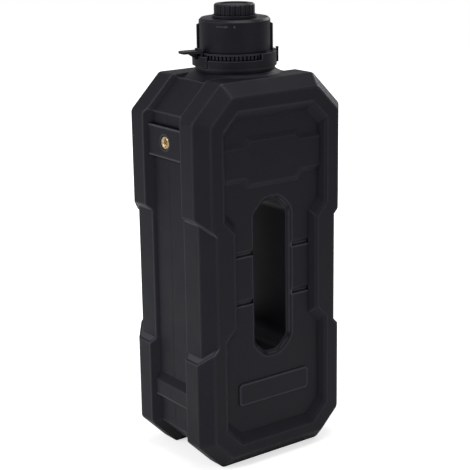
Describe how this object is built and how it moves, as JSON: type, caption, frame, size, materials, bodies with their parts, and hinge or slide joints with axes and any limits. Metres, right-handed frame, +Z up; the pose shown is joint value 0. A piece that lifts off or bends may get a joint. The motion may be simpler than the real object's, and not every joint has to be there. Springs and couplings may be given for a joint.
{
  "type": "fuel can",
  "caption": "Flat plastic fuel can with a hand slot through its middle, a channel round its edge with brass inserts, a ratchet-locked screw cap with a sprung latch, and a small pour cap",
  "frame": {"origin": "middle of the base, on the axis of the neck", "axes": "+X to the can's right seen from the front, +Y to the back, +Z up through the neck"},
  "size_m": [0.176, 0.1278, 0.4454],
  "materials": {
    "can_plastic": "fine grained, satin",
    "fitting_plastic": "satin",
    "cap_plastic": "satin",
    "insert_brass": "machined",
    "seal_rubber": "smooth"
  },
  "bodies": {
    "can": {"body": "can_plastic", "insert_left": "insert_brass", "insert_right": "insert_brass", "locking_collar": "fitting_plastic"},
    "latch": {"latch_lever": "fitting_plastic"},
    "main_cap_carrier": {"main_cap_seal": "seal_rubber"},
    "main_cap": {"main_cap": "cap_plastic"},
    "pour_cap_carrier": {"pour_cap_seal": "seal_rubber"},
    "pour_cap": {"pour_cap": "cap_plastic"}
  },
  "joints": [
    {"name": "latch_press", "type": "hinge", "parent": "can", "child": "latch", "pos_m": [-0.03496, 0.00491, 0.3896], "axis": [-0.1392, -0.9903, 0], "range_deg": [0, 12], "stiffness_Nm_per_rad": 0.4},
    {"name": "main_cap_lift", "type": "slide", "parent": "can", "child": "main_cap_carrier", "axis": [0, 0, 1], "range_m": [0, 0.04]},
    {"name": "main_cap_turn", "type": "hinge", "parent": "main_cap_carrier", "child": "main_cap", "pos_m": [0, 0, 0.41], "axis": [0, 0, 1], "range_deg": [0, 810]},
    {"name": "pour_cap_lift", "type": "slide", "parent": "main_cap", "child": "pour_cap_carrier", "axis": [0, 0, 1], "range_m": [0, 0.02]},
    {"name": "pour_cap_turn", "type": "hinge", "parent": "pour_cap_carrier", "child": "pour_cap", "pos_m": [0, 0, 0.436], "axis": [0, 0, 1], "range_deg": [0, 720]}
  ]
}
